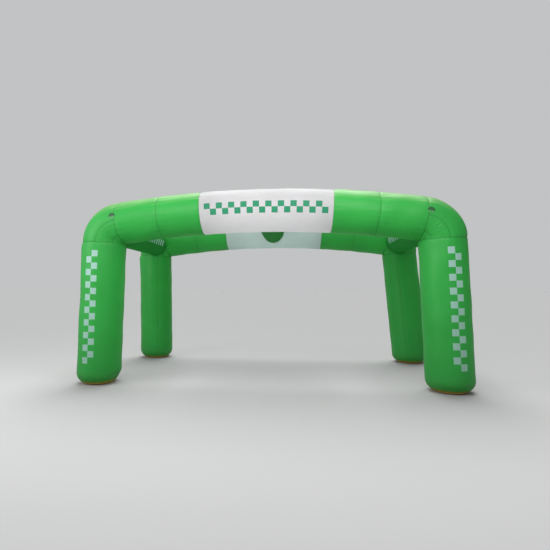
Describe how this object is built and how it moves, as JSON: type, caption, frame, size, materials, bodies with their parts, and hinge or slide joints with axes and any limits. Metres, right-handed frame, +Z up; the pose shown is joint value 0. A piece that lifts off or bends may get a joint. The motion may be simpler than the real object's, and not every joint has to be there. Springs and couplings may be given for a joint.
{
  "type": "inflatable arch",
  "caption": "Walk-through double arch of blown-up cloth tubes: legs, gored corners, shallow beams with white middle panels, and tubes that join front to back.",
  "frame": {"origin": "on the ground, under the middle of the whole arch", "axes": "+Z up, +X along the beams to the right and -Y to the front, as one walks up to it"},
  "size_m": [8.1306, 4.4459, 4.028],
  "materials": {
    "green_cloth": "coated, slight sheen",
    "white_cloth": "coated, matt, printed",
    "link_cloth": "coated, slight sheen",
    "foot_cloth": "heavy, matt",
    "guy_cloth": "webbing and coated patch",
    "ring_steel": "satin"
  },
  "bodies": {
    "root": {"front_beam_left_outer": "green_cloth", "front_beam_left_inner": "green_cloth", "front_panel": "white_cloth", "front_beam_right_inner": "green_cloth", "front_beam_right_outer": "green_cloth", "back_beam_left_outer": "green_cloth", "back_beam_left_inner": "green_cloth", "back_panel": "white_cloth", "back_beam_right_inner": "green_cloth", "back_beam_right_outer": "green_cloth", "front_elbow_left": "green_cloth", "front_elbow_right": "green_cloth", "back_elbow_left": "green_cloth", "back_elbow_right": "green_cloth", "front_leg_left": "green_cloth", "front_leg_right": "green_cloth", "back_leg_left": "green_cloth", "back_leg_right": "green_cloth", "front_foot_left": "foot_cloth", "front_foot_right": "foot_cloth", "back_foot_left": "foot_cloth", "back_foot_right": "foot_cloth", "side_tube_left": "link_cloth", "side_tube_right": "link_cloth", "cross_tube": "link_cloth", "front_guy_patch_left": "guy_cloth", "front_guy_patch_right": "guy_cloth", "back_guy_patch_left": "guy_cloth", "back_guy_patch_right": "guy_cloth", "front_guy_strap_left": "guy_cloth", "front_guy_strap_right": "guy_cloth", "back_guy_strap_left": "guy_cloth", "back_guy_strap_right": "guy_cloth", "front_guy_ring_left": "ring_steel", "front_guy_ring_right": "ring_steel", "back_guy_ring_left": "ring_steel", "back_guy_ring_right": "ring_steel"}
  },
  "joints": []
}
